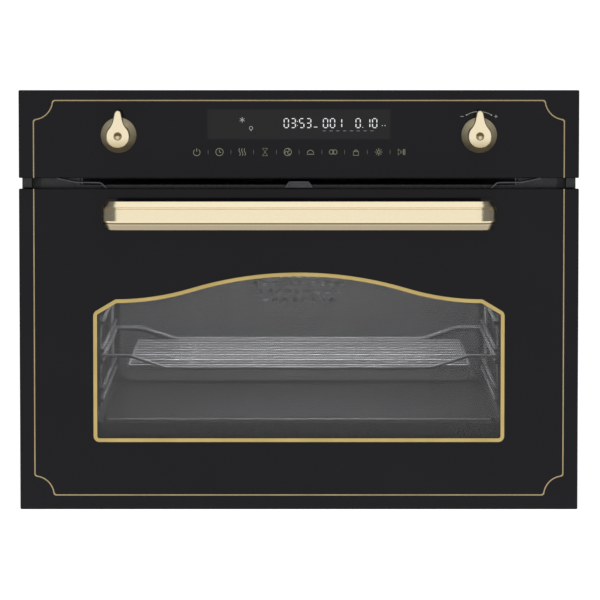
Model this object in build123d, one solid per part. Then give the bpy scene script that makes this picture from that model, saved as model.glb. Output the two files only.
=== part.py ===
from build123d import *
import math
import os

# Frame: X to the right, Y to the back, Z up, millimetres. The oven stands on z = 0.

# Front
front_width = 597.0
panel_height = 93.5
vent_gap = 11.5
door_height = 344.0
door_bottom = 2.0
glass_thick = 4.0
door_thick = 22.0
frame_y = -270.0
closing_gap = 1.0
line_wide = 1.2
line_proud = 0.2

# Border line, measured from the edges of the front
border_width = 565.4
border_from_top = 10.9
border_from_bottom = 15.5
scoop_radius = 20.5
scoop_rounding = 3.0

# Arched window, outer edge of its border
window_half = 219.7
window_low = 74.6
window_side_top = 213.6
shoulder_half = 196.0
shoulder_z = 227.7
crown_radius = 402.0
cove_radius = 281.6
window_corner = 6.4
shoulder_round = 5.0
window_band = 3.9
border_proud = 0.7

# Housing
housing_width = 556.0
housing_height = 428.0
housing_depth = 545.0
sheet = 1.2
bend = 5.0
pan_tall = 14.0
slot_wide = 5.0
rear_screw_x, rear_screw_z = 262.0, (60.0, 214.0, 400.0)
trim_half = 296.2
trim_flange = 0.6
trim_seat_y = frame_y + 1.5
trim_low, trim_tall = 6.0, 440.0
cabinet_screw_x, cabinet_screw_z, cabinet_screw_r = 287.0, (70.0, 320.0), 2.5

# Cavity
cavity_width = 446.0
cavity_floor = 97.0
cavity_roof = 318.0
cavity_depth = 425.0
cavity_corner = 12.0
ceramic_thick = 4.0
well_radius = 92.0
well_depth = 30.0
fan_z, fan_shaft_r = 222.0, 4.0
cover_y = 130.0
intake_wide, intake_tall, intake_pitch, intake_hole_r = 62.0, 38.0, 11.0, 3.4
bead_count, bead_low, bead_pitch = 4, 161.0, 6.5

# Microwave source under the cavity
stir_y = -60.0
guide_half, guide_tall, guide_front, guide_back, guide_wall = 44.0, 40.0, -110.0, 262.0, 2.0
source_y = 215.0
rotor_r, rotor_shaft_r = 74.0, 4.0

# Cooling blower, its duct and the tray above the cavity
blower_y, blower_z, blower_r, blower_half = 150.0, 374.0, 34.0, 92.0
blower_shaft_r = 3.0
outlet_half, outlet_low, outlet_high = 235.0, 349.0, 356.0
tray_lift = 3.5

# Latch
latch_x, latch_z = 245.0, 296.0

# Mains inlet
inlet_x, inlet_z, lead_r, gland_r = -215.0, 392.0, 4.5, 9.0

# Hinge
hinge_y = frame_y - 13.0
hinge_z = 13.0
hinge_x = 236.0
hinge_pin_r = 2.5
pin_clearance = 0.05

# Knobs
knob_x = 192.0
knob_drop = 47.8
skirt_r = 18.9
boss_r = 12.5
knob_tall = 27.0
pointer_reach = 26.9
pointer_tip = 7.0
knob_gap = 0.6
spindle_r = 3.0
spindle_grip = 14.0

# Handle
handle_length = 420.0
handle_z = 319.5
handle_tall = 30.2
handle_deep = 16.0
handle_proud = 45.0
handle_bend = 13.0
handle_screw_r = 2.5

# Heating elements and lamp
element_r = 3.2
ring_r = 68.0
ring_gap = 9.0
ring_leg_z = fan_z - math.sqrt(ring_r ** 2 - ring_gap ** 2)
grill_z = cavity_roof - 11.0
grill_reach = 180.0
element_tail = 18.0
lamp_y, lamp_z, lamp_r = 40.0, 268.0, 27.0

# Walled opening of the door pan
opening_half, opening_low, opening_high = 226.0, 66.0, 266.0

# Wire goods
wire_r = 2.0
rack_x = 212.0
rack_levels = (116.0, 158.0, 200.0)
rack_pair = 12.0
shelf_half = 186.0
shelf_runner = 118.0
shelf_drop = 13.0
shelf_front = -242.0
shelf_back = 122.0
shelf_wires = 11
run_gap = 0.3

# Derived places
front_y = frame_y - closing_gap - door_thick
glass_back = front_y + glass_thick
chassis_back = frame_y - closing_gap
door_top = door_bottom + door_height
panel_low = door_top + vent_gap
panel_top = panel_low + panel_height
knob_z = panel_top - knob_drop
rear_y = frame_y + housing_depth
cavity_back = frame_y + cavity_depth
housing_half = housing_width / 2
cavity_half = cavity_width / 2
shelf_rest_z = rack_levels[1] + 2 * wire_r + run_gap
liner_low = cavity_floor - ceramic_thick - sheet
well_low = liner_low - well_depth
tray_z = cavity_roof + tray_lift
rack_hang_z = rack_levels[-1] + rack_pair + 24
handle_end_x = handle_length / 2 - handle_deep / 2

# How far a cut runs past the face that it cuts
reach = 5.0


# Helpers
def block(x0, x1, y0, y1, z0, z1):
    """Box between two corners."""
    middle = ((x0 + x1) / 2, (y0 + y1) / 2, (z0 + z1) / 2)
    return Pos(*middle) * Box(x1 - x0, y1 - y0, z1 - z0)


def front_prism(sketch, y_back, thick):
    """Extrude a sketch drawn in X and Z, from y_back towards the viewer."""
    return extrude(Plane.XZ.offset(-y_back) * sketch, amount=thick)


def side_prism(sketch, x_low, wide):
    """Extrude a sketch drawn in Y and Z along X."""
    return extrude(Plane.YZ.offset(x_low) * sketch, amount=wide)


def plate(x0, x1, z0, z1, y_back, thick, corner=0.0):
    """Upright plate with rounded corners."""
    shape = Pos((x0 + x1) / 2, (z0 + z1) / 2)
    wide, tall = x1 - x0, z1 - z0
    shape = shape * (RectangleRounded(wide, tall, corner) if corner else Rectangle(wide, tall))
    return front_prism(shape, y_back, thick)


def rod(start, end, radius):
    """Round bar between two points."""
    a, b = Vector(*start), Vector(*end)
    along = b - a
    seat = Plane(origin=a, z_dir=along.normalized())
    return extrude(seat * Circle(radius), amount=along.length)


def wire_path(points, bends, radius):
    """Bent round wire along straight runs joined by arcs."""
    path = FilletPolyline(*points, radius=bends)
    seat = Plane(origin=path @ 0, z_dir=path % 0)
    return sweep(seat * Circle(radius), path=path)


def mirrored(shape):
    return mirror(shape, about=Plane.YZ)


# Outlines of the front
def scooped(width, low, high, radius, inset):
    """Rectangle whose corners are scooped out by circles centred on them."""
    middle = (low + high) / 2
    tall = high - low
    shape = Pos(0, middle) * Rectangle(width - 2 * inset, tall - 2 * inset)
    for sx in (-1, 1):
        for z in (low, high):
            shape -= Pos(sx * width / 2, z) * Circle(radius + inset)
    return fillet(shape.vertices(), scoop_rounding)


def border_band():
    low = door_bottom + border_from_bottom - line_wide / 2
    high = panel_top - border_from_top + line_wide / 2
    width = border_width + line_wide
    outer = scooped(width, low, high, scoop_radius, 0)
    inner = scooped(width, low, high, scoop_radius, line_wide)
    return outer - inner


def arch_outline(inset):
    """Window outline: straight sides, cut shoulders and an S-curved crown."""
    sway = math.asin(shoulder_half / (crown_radius + cove_radius))
    rise = (crown_radius + cove_radius) * (1 - math.cos(sway))
    peak = shoulder_z + rise
    joint = (crown_radius * math.sin(sway), peak - crown_radius * (1 - math.cos(sway)))
    low, side = window_low, window_half
    with BuildSketch() as drawn:
        with BuildLine():
            crown = ThreePointArc((-joint[0], joint[1]), (0, peak), joint)
            TangentArc(joint, (shoulder_half, shoulder_z), tangent=crown % 1)
            Polyline(
                (shoulder_half, shoulder_z), (side, window_side_top), (side, low),
                (-side, low), (-side, window_side_top), (-shoulder_half, shoulder_z))
            back = (-math.cos(sway), -math.sin(sway))
            TangentArc((-joint[0], joint[1]), (-shoulder_half, shoulder_z), tangent=back)
        make_face()
        fillet([v for v in drawn.vertices() if abs(abs(v.X) - side) < 0.01], window_corner)
        fillet([v for v in drawn.vertices() if abs(abs(v.X) - shoulder_half) < 0.01], shoulder_round)
    face = drawn.sketch
    return offset(face, amount=-inset, kind=Kind.INTERSECTION) if inset else face


# Housing
def make_outer_housing():
    inner_w = housing_width - 2 * sheet
    skin = Pos(0, housing_height / 2) * Rectangle(housing_width, housing_height)
    skin = fillet(skin.vertices().sort_by(Axis.Y)[-2:], bend)
    hollow = Pos(0, (housing_height - sheet) / 2) * Rectangle(inner_w, housing_height - sheet)
    hollow = fillet(hollow.vertices().sort_by(Axis.Y)[-2:], bend - sheet)
    shell = front_prism(skin - hollow, rear_y - sheet, housing_depth - 3 * sheet)
    shell &= block(-housing_half, housing_half, frame_y, rear_y, sheet + 0.3, housing_height)
    roof_x, roof_y, roof_rows, roof_pitch = 150, 70, 6, 16
    vent = SlotOverall(70, slot_wide)
    for row in range(roof_rows):
        for column in (-1, 1):
            seat = Plane.XY.offset(housing_height - reach) * Pos(column * roof_x, roof_y + row * roof_pitch)
            shell -= extrude(seat * vent, amount=2 * reach)
    side_y, side_z, side_rows, side_pitch = 150, 330, 5, 20
    for side in (-1, 1):
        for row in range(side_rows):
            seat = Plane.YZ.offset(side * housing_half - reach) * Pos(side_y + row * side_pitch, side_z)
            shell -= extrude(seat * Rot(0, 0, 90) * vent, amount=2 * reach)
    return shell


def make_base_pan():
    wide = housing_width - 2 * sheet - 0.4
    deep = housing_depth - 3 * sheet
    middle = (frame_y + rear_y) / 2
    pan = Pos(0, middle, 0) * extrude(Rectangle(wide, deep), amount=pan_tall)
    pan -= Pos(0, middle, sheet) * extrude(Rectangle(wide - 2 * sheet, deep - 2 * sheet), amount=pan_tall)
    notch = 8
    for side in (-1, 1):
        x = side * hinge_x
        pan -= block(x - notch, x + notch, frame_y - reach, frame_y + reach, sheet + 1, 20)
    vent_x, vent_y, rows, pitch = 190, -150, 8, 18
    vent = SlotOverall(60, slot_wide)
    for row in range(rows):
        for column in (-1, 1):
            pan -= Pos(column * vent_x, vent_y + row * pitch, -1) * extrude(vent, amount=4)
    return pan


def make_rear_panel():
    half = housing_half - 1.5
    back = plate(-half, half, sheet + 0.3, housing_height - 1.5, rear_y, sheet, 4.0)
    holes = []
    side_x, side_z, side_rows, side_pitch = 160, 150, 9, 14
    for row in range(side_rows):
        for column in (-1, 1):
            holes.append(Pos(column * side_x, side_z + row * side_pitch) * SlotOverall(56, slot_wide))
    top_z, top_rows, top_pitch = 340, 5, 13
    for row in range(top_rows):
        holes.append(Pos(0, top_z + row * top_pitch) * SlotOverall(150, slot_wide))
    for x in (-rear_screw_x, rear_screw_x):
        for z in rear_screw_z:
            holes.append(Pos(x, z) * Circle(2.1))
    holes.append(Pos(inlet_x, inlet_z) * Circle(gland_r))
    for hole in holes:
        back -= front_prism(hole, rear_y + reach, 2 * reach)
    return back


def make_front_frame():
    """Enamelled front plate: the cavity mouth, the air outlet and a slot for each latch hook."""
    half, low, high, thick = housing_half + 1, 24, 440, 1.5
    frame = plate(-half, half, low, high, frame_y + thick, thick, 6.0)
    frame -= plate(-cavity_half, cavity_half, cavity_floor - 5, cavity_roof, frame_y + reach, 2 * reach,
                   cavity_corner)
    frame -= plate(-outlet_half, outlet_half, outlet_low, outlet_high, frame_y + reach, 2 * reach, 3.0)
    slot_half, slot_tall = 5, 10
    for side in (-1, 1):
        x = side * latch_x
        frame -= plate(x - slot_half, x + slot_half, latch_z - slot_tall, latch_z + slot_tall,
                       frame_y + reach, 2 * reach)
    return frame


def make_side_trim():
    """Right-hand trim: a thin flange on the front frame, and a thicker seat for the cabinet edge."""
    inner, seat_x = housing_half - 2, housing_half + 1.4
    front = frame_y - trim_flange
    section = make_face(Polyline(
        (inner, frame_y), (seat_x, frame_y), (seat_x, trim_seat_y), (trim_half - 0.8, trim_seat_y),
        (trim_half, trim_seat_y - 0.8), (trim_half, front + 0.6), (trim_half - 0.6, front), (inner, front),
        close=True))
    strip = Pos(0, 0, trim_low) * extrude(section, amount=trim_tall)
    for z in cabinet_screw_z:
        hole = Pos(cabinet_screw_x, z) * Circle(cabinet_screw_r)
        strip -= front_prism(hole, frame_y + reach, 2 * reach)
    return strip


# Cavity
def make_cavity_liner():
    """Enamelled box with the stirrer well sunk in its floor, and holes for the lamp, fan and heater legs."""
    outer = plate(-cavity_half - sheet, cavity_half + sheet, liner_low, cavity_roof + sheet,
                  cavity_back + sheet, cavity_depth + sheet - 1.5, cavity_corner + sheet)
    inner = plate(-cavity_half, cavity_half, liner_low + sheet, cavity_roof,
                  cavity_back, cavity_depth + 20, cavity_corner)
    liner = outer - inner
    liner += Pos(0, stir_y, well_low) * extrude(Circle(well_radius + sheet), amount=well_depth)
    liner -= Pos(0, stir_y, well_low + sheet) * extrude(Circle(well_radius), amount=well_depth + reach)
    liner -= Pos(0, stir_y, well_low - reach) * extrude(Circle(rotor_shaft_r + 3), amount=2 * reach)
    liner -= rod((0, cavity_back - reach, fan_z), (0, cavity_back + reach, fan_z), fan_shaft_r + 2)
    liner -= rod((cavity_half - reach, lamp_y, lamp_z), (cavity_half + reach, lamp_y, lamp_z), 24.0)
    for side in (-1, 1):
        for x, z in ((side * ring_gap, ring_leg_z), (side * grill_reach, grill_z)):
            liner -= rod((x, cavity_back - reach, z), (x, cavity_back + reach, z), element_r + 0.3)
    return liner


def make_ceramic_floor():
    half = cavity_half - cavity_corner
    deck = block(-half, half, frame_y + 4, cavity_back - 2,
                 cavity_floor - ceramic_thick, cavity_floor)
    deck = chamfer(deck.edges().filter_by(Axis.Z), 6.0)
    front_edge = deck.edges().filter_by(Axis.X).group_by(Axis.Y)[0].sort_by(Axis.Z)[-1:]
    return chamfer(front_edge, 1.2)


def make_fan_cover():
    """Rear cavity cover: pressed beads, an oval perforated intake and side outlets."""
    half, low, high, wall = 208.0, cavity_floor + 3, grill_z - element_r - 8, 1.5
    deep = cavity_back - cover_y
    cover = plate(-half, half, low, high, cavity_back, deep, 16.0)
    cover -= plate(-half + wall, half - wall, low + wall, high - wall, cavity_back + 1, deep - 0.5, 14.5)
    for row in range(bead_count):
        bead = Pos(0, bead_low + row * bead_pitch) * SlotOverall(2 * half - 50, 3.2)
        cover += front_prism(bead, cover_y, 0.9)
    holes = intake_holes()
    side_x, side_z, side_rows, side_pitch = 165, 200, 5, 16
    for side in (-1, 1):
        for row in range(side_rows):
            holes.append(Pos(side * side_x, side_z + row * side_pitch) * SlotOverall(44, slot_wide))
    for hole in holes:
        cover -= front_prism(hole, cover_y + reach, 2 * reach)
    return cover


def intake_holes():
    """Staggered hexagons that fill an oval round the fan."""
    rows, columns = int(intake_tall / intake_pitch), int(intake_wide / intake_pitch) + 1
    holes = []
    for row in range(-rows, rows + 1):
        z = row * intake_pitch * 0.87
        for column in range(-columns, columns + 1):
            x = (column + 0.5 * (row % 2)) * intake_pitch
            if (x / intake_wide) ** 2 + (z / intake_tall) ** 2 < 1:
                holes.append(Pos(x, fan_z + z) * RegularPolygon(intake_hole_r, 6))
    return holes


def make_ring_element():
    """Ring heater round the fan, with two legs through the rear wall."""
    y = cover_y + 11
    leg_end = cavity_back + element_tail
    arc = ThreePointArc((ring_gap, y, ring_leg_z), (0, y, fan_z + ring_r), (-ring_gap, y, ring_leg_z))
    seat = Plane(origin=arc @ 0, z_dir=arc % 0)
    tube = sweep(seat * Circle(element_r), path=arc)
    for x in (-ring_gap, ring_gap):
        tube += rod((x, y - 2, ring_leg_z), (x, leg_end, ring_leg_z), element_r)
    return tube


def make_grill_element():
    """Serpentine grill tube under the roof, its ends through the rear wall."""
    far, near, runs, turn_r = 90.0, -200.0, 8, 18.0
    leg_end = cavity_back + element_tail
    xs = [-grill_reach + i * grill_reach * 2 / (runs - 1) for i in range(runs)]
    points = [(xs[0], leg_end, grill_z)]
    for i, x in enumerate(xs):
        ends = (far, near) if i % 2 == 0 else (near, far)
        points += [(x, ends[0], grill_z)] if i else []
        points += [(x, ends[1], grill_z)] if i < runs - 1 else []
    points.append((xs[-1], leg_end, grill_z))
    return wire_path(points, turn_r, element_r)


def make_side_rack():
    """Right-hand ladder rack: uprights near the wall and pairs of runners."""
    front, back, bend_r = -236.0, 112.0, 14.0
    upright_x = rack_x + 2 * wire_r - 0.4
    low, high = rack_levels[0] - 8, rack_hang_z
    loop = [(upright_x, back, low), (upright_x, back, high), (upright_x, front, high),
            (upright_x, front, low)]
    rack = wire_path(loop, bend_r, wire_r)
    rack += rod((upright_x, front, low), (upright_x, back, low), wire_r)
    for level in rack_levels:
        for z in (level, level + rack_pair):
            rack += rod((rack_x, front - 26, z), (rack_x, back + 12, z), wire_r)
    return rack


def make_rack_studs():
    """Headed studs in the cavity walls that the racks hang on."""
    z, stem_r, head_r, head_x = rack_hang_z + 5.1, 3.0, 6.0, cavity_half - 11
    studs = []
    for side in (-1, 1):
        for y in (-200.0, 80.0):
            stem = rod((side * cavity_half, y, z), (side * head_x, y, z), stem_r)
            head = rod((side * head_x, y, z), (side * (head_x - 3), y, z), head_r)
            studs.append(stem + head)
    return Compound(studs)


def make_lamp_housing():
    cup_end, bulb_r = housing_half - 16, 8.0
    cup = rod((cavity_half + sheet, lamp_y, lamp_z), (cup_end, lamp_y, lamp_z), lamp_r + 3)
    cup -= rod((cavity_half - 1, lamp_y, lamp_z), (cup_end - 2, lamp_y, lamp_z), lamp_r)
    return cup + rod((cup_end - 1, lamp_y, lamp_z), (cup_end - 18, lamp_y, lamp_z), bulb_r)


def make_lamp_lens():
    rim_thick, pane_thick, pane_r, hollow_r = 3, 6, lamp_r - 3.5, lamp_r - 7
    rim = rod((cavity_half - rim_thick, lamp_y, lamp_z), (cavity_half, lamp_y, lamp_z), lamp_r)
    pane = rod((cavity_half, lamp_y, lamp_z), (cavity_half + pane_thick, lamp_y, lamp_z), pane_r)
    hollow = rod((cavity_half - 1, lamp_y, lamp_z), (cavity_half + pane_thick + 2, lamp_y, lamp_z), hollow_r)
    return rim + pane - hollow


# Microwave source
def make_waveguide():
    """Flat duct under the cavity, open to the stirrer well at the front and the source at the back."""
    wall = guide_wall
    duct = block(-guide_half, guide_half, guide_front, guide_back, well_low - guide_tall, well_low)
    duct -= block(-guide_half + wall, guide_half - wall, guide_front + wall, guide_back - wall,
                  well_low - guide_tall + wall, well_low - wall)
    holes = (
        (stir_y, well_low, 18), (stir_y, well_low - guide_tall, rotor_shaft_r + 3),
        (source_y, well_low, 16))
    for y, z, radius in holes:
        duct -= Pos(0, y, z - reach) * extrude(Circle(radius), amount=2 * reach)
    return duct


def make_magnetron():
    """Source of the microwaves: a yoke open front and back round a finned anode."""
    half, deep, tall, wall = 40, 39, 84, 4
    top = well_low + tall
    yoke = block(-half, half, source_y - deep, source_y + deep, well_low, top)
    yoke -= block(-half + wall, half - wall, source_y - deep - reach, source_y + deep + reach,
                  well_low + wall, top - wall)
    anode = rod((0, source_y, well_low + 8), (0, source_y, top - 8), 19.0)
    fin_half, fin_deep, fin_thick, fin_count, fin_pitch = 34, 33, 1.2, 7, 9
    for row in range(fin_count):
        z = well_low + 14 + row * fin_pitch
        anode += block(-fin_half, fin_half, source_y - fin_deep, source_y + fin_deep, z, z + fin_thick)
    antenna = rod((0, source_y, well_low - 24), (0, source_y, well_low + 10), 8.0)
    filter_plate = block(-30, 30, source_y - fin_deep, source_y + fin_deep, top, top + 0.5)
    return yoke + anode + antenna + filter_plate


def make_antenna_rotor():
    """Three curved lobes cut from one disc, on a stem down through the waveguide."""
    z, thick, lobes = liner_low - 16, 1.5, 3
    disc = extrude(Circle(rotor_r), amount=thick)
    for step in range(lobes):
        turn = 360 / lobes * step
        disc -= Rot(0, 0, turn) * Pos(50, 0, -1) * extrude(SlotOverall(60, 24), amount=4)
        disc -= Rot(0, 0, turn + 60) * Pos(58, 0, -1) * extrude(SlotOverall(20, 8), amount=4)
    stem = rod((0, stir_y, 21.5), (0, stir_y, z + 3), rotor_shaft_r)
    return Pos(0, stir_y, z) * disc + stem


def make_antenna_motor():
    can_r, can_tall, ear_z, collar_top = 25, 17, sheet + 15, 21
    can = Pos(0, stir_y, sheet) * extrude(Circle(can_r), amount=can_tall)
    can = fillet(can.edges().sort_by(Axis.Z)[-1:], 1.5)
    ears = Pos(0, stir_y, ear_z) * extrude(SlotOverall(66, 12), amount=1.5)
    collar = rod((0, stir_y, sheet + can_tall - 0.2), (0, stir_y, collar_top), 6.0)
    hole = rod((0, stir_y, 14), (0, stir_y, 30), rotor_shaft_r + pin_clearance)
    return can + ears + collar - hole


# Convection fan
def make_fan_impeller():
    """Backplate with a hub and twelve curved blades."""
    back, disc_r, disc_thick, hub_r, hub_deep = cavity_back - 2.5, 54.0, 1.2, 12.0, 12.0
    blade_count, blade_deep, blade_thick = 12, 14.0, 1.2
    front = back - disc_thick
    wheel = rod((0, back, 0), (0, front, 0), disc_r)
    for step in range(blade_count):
        arc = ThreePointArc((18, 0), (36, 8), (disc_r - 1.5, 4))
        curve = offset(arc, amount=blade_thick / 2, side=Side.BOTH)
        blade = extrude(Plane.XZ.offset(-front) * make_face(curve.edges()), amount=blade_deep)
        wheel += Rot(0, 360.0 * step / blade_count, 0) * blade
    wheel += rod((0, back, 0), (0, back - hub_deep, 0), hub_r)
    shaft = rod((0, back - 2, 0), (0, cavity_back + 20, 0), fan_shaft_r)
    return Pos(0, 0, fan_z) * (wheel + shaft)


def make_convection_motor():
    y = cavity_back + sheet
    flange_y, can_r, can_deep, post_x, post_r = y + 10, 38.0, 52.0, 48, 4.0
    can = rod((0, flange_y, fan_z), (0, flange_y + can_deep, fan_z), can_r)
    motor = fillet(can.edges().group_by(Axis.Y)[-1], 4.0)
    motor += front_prism(Pos(0, fan_z) * RectangleRounded(110, 60, 10), flange_y, 2.0)
    for x in (-post_x, post_x):
        motor += rod((x, y, fan_z), (x, flange_y, fan_z), post_r)
    return motor - rod((0, y - 2, fan_z), (0, y + 30, fan_z), fan_shaft_r + pin_clearance)


# Cooling blower
def make_blower_wheel():
    """Cross-flow wheel: curved blades between three discs."""
    disc, blade_count, blade_thick = 2.0, 20, 1.0
    wheel = rod((-blower_half, 0, 0), (-blower_half + disc, 0, 0), blower_r)
    wheel += rod((blower_half - disc, 0, 0), (blower_half, 0, 0), blower_r)
    wheel += rod((-disc / 2, 0, 0), (disc / 2, 0, 0), blower_r)
    for step in range(blade_count):
        arc = ThreePointArc((blower_r - 10, 0), (blower_r - 4.5, 2.6), (blower_r - 0.4, 2.0))
        curve = offset(arc, amount=blade_thick / 2, side=Side.BOTH)
        blade = extrude(Plane.YZ.offset(-blower_half) * make_face(curve.edges()), amount=2 * blower_half)
        wheel += Rot(360.0 * step / blade_count, 0, 0) * blade
    for side in (-1, 1):
        wheel += rod((side * (blower_half - 4), 0, 0), (side * (blower_half + 14), 0, 0), blower_shaft_r)
    return Pos(0, blower_y, blower_z) * wheel


def make_blower_housing():
    """Scroll round the wheel, open to the back and blowing forward."""
    r, wall, end = blower_r + 5, 1.2, 2.0
    outlet = Pos(blower_y - 30, blower_z - 28)
    scroll = Pos(blower_y, blower_z) * Circle(r + wall) + outlet * Rectangle(60, 26)
    bore = Pos(blower_y, blower_z) * Circle(r) + outlet * Rectangle(80, 22)
    bore += Pos(blower_y + 30, blower_z + 10) * Rectangle(40, 42)
    wide = blower_half + 3
    case = side_prism(scroll - bore, -wide, 2 * wide)
    case += side_prism(scroll, wide, end) + side_prism(scroll, -wide - end, end)
    far = wide + end + reach
    return case - rod((-far, blower_y, blower_z), (far, blower_y, blower_z), blower_shaft_r + pin_clearance)


def make_blower_motor():
    x, long, can_r = blower_half + 5.0, 36.0, 26.0
    motor = rod((x, blower_y, blower_z), (x + long, blower_y, blower_z), can_r)
    motor += block(x + 6, x + 28, blower_y - 22, blower_y + 22, tray_z + 1.2, blower_z - 10)
    bore_r = blower_shaft_r + pin_clearance
    return motor - rod((x - 2, blower_y, blower_z), (x + 24, blower_y, blower_z), bore_r)


def make_air_duct():
    """Flat duct that widens from the blower to the slot under the panel, on two feet."""
    back_y, mouth_y, wall = blower_y - 61.0, frame_y + 1.5, 1.0
    near_half, near_low, near_high = outlet_half - 3, outlet_low - 0.5, outlet_high + 0.5
    far_half, far_low, far_high = blower_half - 4, 334, 356
    foot_half, foot_thick, foot_low = 60, 4, tray_z + 1.5

    def ring(half, z0, z1):
        return Pos(0, (z0 + z1) / 2) * Rectangle(2 * half, z1 - z0)

    def tunnel(grow):
        near = Plane.XZ.offset(-mouth_y + grow) * ring(near_half + grow, near_low - grow, near_high + grow)
        far = Plane.XZ.offset(-back_y - grow) * ring(far_half + grow, far_low - grow, far_high + grow)
        return loft([far, near])

    duct = tunnel(wall) - tunnel(0.0)
    duct &= block(-300, 300, mouth_y, back_y, 0, 500)
    feet = None
    for y, top in ((-60, 343), (40, 338)):
        foot = block(-foot_half, foot_half, y, y + foot_thick, foot_low, top)
        feet = foot if feet is None else feet + foot
    return duct + (feet - tunnel(wall / 2))


def make_top_tray():
    """Partition over the cavity that carries the blower and the boards."""
    half = housing_half - 2
    tray = block(-half, half, frame_y + 2, rear_y - 2, tray_z, tray_z + sheet)
    return tray - block(-60, 60, 176, 262, tray_z - reach, tray_z + reach)


def make_power_board():
    """Mains board on four posts: a coil, a finned heat sink and a capacitor."""
    base = tray_z + 1.5
    low = base + 8
    top = low + 2
    x0, x1, y0, y1, inset = -250, -140, 60, 220, 6
    board = block(x0, x1, y0, y1, low, top)
    for x in (x0 + inset, x1 - inset):
        for y in (y0 + inset, y1 - inset):
            board += rod((x, y, base - 0.3), (x, y, low), 3.0)
    coil_x, coil_y, coil_tall = -215, 170, 34
    board += rod((coil_x, coil_y, top), (coil_x, coil_y, top + coil_tall), 24.0)
    board -= rod((coil_x, coil_y, top + 20), (coil_x, coil_y, top + coil_tall + reach), 9.0)
    sink_x0, sink_x1, sink_y0, sink_y1, sink_tall, fins = -185, -150, 80, 140, 34, 6
    board += block(sink_x0, sink_x1, sink_y0, sink_y1, top, top + 4)
    for fin in range(fins):
        x = sink_x0 + fin * 6.6
        board += block(x, x + 2, sink_y0, sink_y1, top, top + sink_tall)
    return board + rod((-225, 100, top), (-225, 100, top + 30), 12.0)


# Control panel
def make_control_panel():
    face = plate(-front_width / 2, front_width / 2, panel_low, panel_top, glass_back, glass_thick, 1.2)
    face = chamfer(face.edges().group_by(Axis.Y)[0], 0.6)
    for x in (-knob_x, knob_x):
        face -= rod((x, front_y - 2, knob_z), (x, glass_back + 2, knob_z), 5.0)
    return face


def make_display_board():
    """Board behind the glass, with the display and the touch keys standing on it."""
    near = glass_back + 0.2
    board_y, board_thick = glass_back + 4, 1.6
    board = block(-120, 120, board_y, board_y + board_thick, 372, 440)
    display = block(-94, 94, near, board_y, 401, 428)
    keys = block(-112, 112, near, board_y, 376, 392)
    return board + display + keys


def make_encoder():
    """Right-hand encoder: a square can with a threaded collar through the panel."""
    can_half, can_deep, foot_half, foot_deep = 7, 9, 9, 3.6
    back = glass_back + can_deep
    encoder = block(knob_x - can_half, knob_x + can_half, glass_back, back,
                    knob_z - can_half, knob_z + can_half)
    encoder += rod((knob_x, glass_back + 1, knob_z), (knob_x, front_y + 0.5, knob_z), 4.6)
    encoder += block(knob_x - foot_half, knob_x + foot_half, back, back + foot_deep,
                     knob_z - foot_half, knob_z + foot_half)
    bore_r = spindle_r + pin_clearance
    return encoder - rod((knob_x, front_y - reach, knob_z), (knob_x, back - 1, knob_z), bore_r)


def make_panel_bracket():
    """Folded tray behind the panel, with a leg at each end that reaches down beside the air slot."""
    low, high, end, wall = panel_low, panel_top - 3, trim_half, 1.2
    back = frame_y - trim_flange
    tray = block(-end, end, glass_back, back, low, high)
    tray -= block(-end + 12, end - 12, glass_back - 1, back - wall, low + wall, high - wall)
    leg = block(end - 11.2, end - 1.7, glass_back + 1, back, door_top + 1.2, low + 1)
    pocket = block(end - 10.8, end - wall, glass_back - 1, back - wall, low + wall, high - wall)
    tray += leg + mirrored(leg)
    return tray - pocket - mirrored(pocket)


def make_air_deflector():
    """Guides in the air slot: a folded trapezoid at the centre and a curved strip each side."""
    low, wall = door_top + 0.8, 1.2
    foot_half, top_half, tall = 15.0, 10.4, 6.4
    outline = make_face(Polyline(
        (-foot_half, low), (-top_half, low + tall), (top_half, low + tall), (foot_half, low), close=True))
    centre = front_prism(outline, frame_y, 13) - front_prism(offset(outline, amount=-wall), frame_y - 8, 8)
    curve = FilletPolyline(
        (206.0, low), (212.0, low + 5.0), (238.0, low + 5.4), (258.0, low + 9.6), radius=4.0)
    strip = front_prism(make_face(offset(curve, amount=wall / 2, side=Side.BOTH).edges()), frame_y, 12)
    return Compound([centre, strip, mirrored(strip)])


def make_panel_border_line():
    window = Pos(0, (panel_low + panel_top) / 2) * Rectangle(front_width, panel_height - 0.4)
    return front_prism(border_band() & window, front_y, line_proud)


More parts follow.
